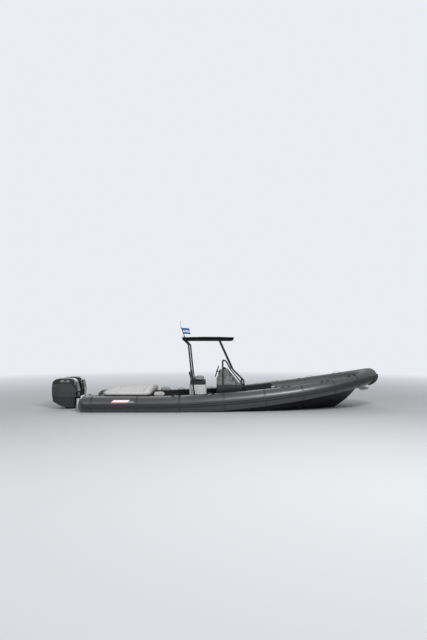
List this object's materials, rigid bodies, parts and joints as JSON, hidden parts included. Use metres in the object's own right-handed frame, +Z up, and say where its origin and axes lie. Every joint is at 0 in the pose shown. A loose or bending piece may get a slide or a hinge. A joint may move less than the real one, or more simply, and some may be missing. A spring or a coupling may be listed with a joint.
{
  "type": "rigid inflatable boat",
  "caption": "Rigid inflatable boat with deep V hull, charcoal tubes, T-top console, sunpad and twin outboards.",
  "frame": {"origin": "on the centreline at the waterline, near amidships", "axes": "+X to the bow, +Y to port, +Z up"},
  "size_m": [9.857, 2.8156, 3.565],
  "materials": {
    "hull_gloss": "polished black gelcoat",
    "tube_fabric": "satin coated fabric",
    "strake_rubber": "moulded rubber",
    "cap_rubber": "ribbed rubber",
    "deck_gelcoat": "satin gelcoat",
    "sole_foam": "grooved deck foam",
    "pale_vinyl": "stitched marine vinyl",
    "dark_vinyl": "stitched marine vinyl",
    "seat_vinyl": "stitched marine vinyl",
    "frame_black": "black powder coat",
    "canopy_black": "satin",
    "bright_steel": "polished",
    "engine_gloss": "high gloss paint",
    "engine_satin": "satin paint",
    "bracket_grey": "painted casting",
    "blade_steel": "polished blades",
    "smoked_pane": "smoked",
    "console_grey": "satin gelcoat",
    "dash_black": "textured",
    "flag_cloth": "woven"
  },
  "bodies": {
    "root": {"hull_shell": "hull_gloss", "transom_board": "hull_gloss", "deck_sole": "sole_foam", "coamings": "deck_gelcoat", "locker_walls": "deck_gelcoat", "bow_deck": "deck_gelcoat", "bow_cushion": "dark_vinyl", "tube_starboard": "tube_fabric", "tube_port": "tube_fabric", "rub_strakes": "strake_rubber", "nose_cap": "cap_rubber", "stem_roller": "bright_steel", "anchor": "bright_steel", "towing_eyes": "bright_steel", "deck_cleats": "bright_steel", "side_pads": "pale_vinyl", "console_base": "deck_gelcoat", "console_upper": "console_grey", "dash_panel": "dash_black", "throttle_lever": "dash_black", "windscreen": "smoked_pane", "windscreen_rails": "frame_black", "seat_box": "pale_vinyl", "seat_base": "dash_black", "seat_cushion": "seat_vinyl", "seat_back": "seat_vinyl", "t_top_legs": "frame_black", "t_top_canopy": "canopy_black", "light_staff": "frame_black", "flag": "flag_cloth", "clamp_brackets": "bracket_grey"},
    "swivel_starboard": {"swivel_bracket_starboard": "bracket_grey"},
    "swivel_port": {"swivel_bracket_port": "bracket_grey"},
    "engine_starboard": {"leg_starboard": "engine_satin", "apron_starboard": "engine_satin", "cowl_starboard": "engine_gloss"},
    "engine_port": {"leg_port": "engine_satin", "apron_port": "engine_satin", "cowl_port": "engine_gloss"},
    "screw_starboard": {"propeller_starboard": "blade_steel"},
    "screw_port": {"propeller_port": "blade_steel"},
    "helm": {"helm_wheel": "dash_black"},
    "sunpad": {"sunpad_lid": "deck_gelcoat", "sunpad_cushion": "pale_vinyl"},
    "hatch": {"bow_hatch": "deck_gelcoat"}
  },
  "joints": [
    {"name": "tilt_starboard", "type": "hinge", "parent": "root", "child": "swivel_starboard", "pos_m": [-3.91, -0.37, 0.36], "axis": [0, 1, 0], "range_deg": [0, 65]},
    {"name": "steer_starboard", "type": "hinge", "parent": "swivel_starboard", "child": "engine_starboard", "pos_m": [-4.06, -0.37, 0], "axis": [0, 0, 1], "range_deg": [-30, 30]},
    {"name": "screw_spin_starboard", "type": "hinge", "parent": "engine_starboard", "child": "screw_starboard", "pos_m": [-4.476, -0.37, -0.69], "axis": [1, 0, 0], "continuous": true},
    {"name": "tilt_port", "type": "hinge", "parent": "root", "child": "swivel_port", "pos_m": [-3.91, 0.37, 0.36], "axis": [0, 1, 0], "range_deg": [0, 65]},
    {"name": "steer_port", "type": "hinge", "parent": "swivel_port", "child": "engine_port", "pos_m": [-4.06, 0.37, 0], "axis": [0, 0, 1], "range_deg": [-30, 30]},
    {"name": "screw_spin_port", "type": "hinge", "parent": "engine_port", "child": "screw_port", "pos_m": [-4.476, 0.37, -0.69], "axis": [1, 0, 0], "continuous": true},
    {"name": "helm_turn", "type": "hinge", "parent": "root", "child": "helm", "pos_m": [0.10888, 0, 1.08959], "axis": [-0.9533, 0, 0.3019], "range_deg": [-450, 450]},
    {"name": "sunpad_lift", "type": "hinge", "parent": "root", "child": "sunpad", "pos_m": [-3.234, 0, 0.4193], "axis": [0, -1, 0], "range_deg": [0, 60]},
    {"name": "hatch_lift", "type": "hinge", "parent": "root", "child": "hatch", "pos_m": [4.1946, 0, 0.86788], "axis": [0, 1, 0], "range_deg": [0, 90]}
  ],
  "couplings": [
    {"joint": "steer_port", "follows": "steer_starboard", "ratio": 1},
    {"joint": "helm_turn", "follows": "steer_starboard", "ratio": 15}
  ]
}
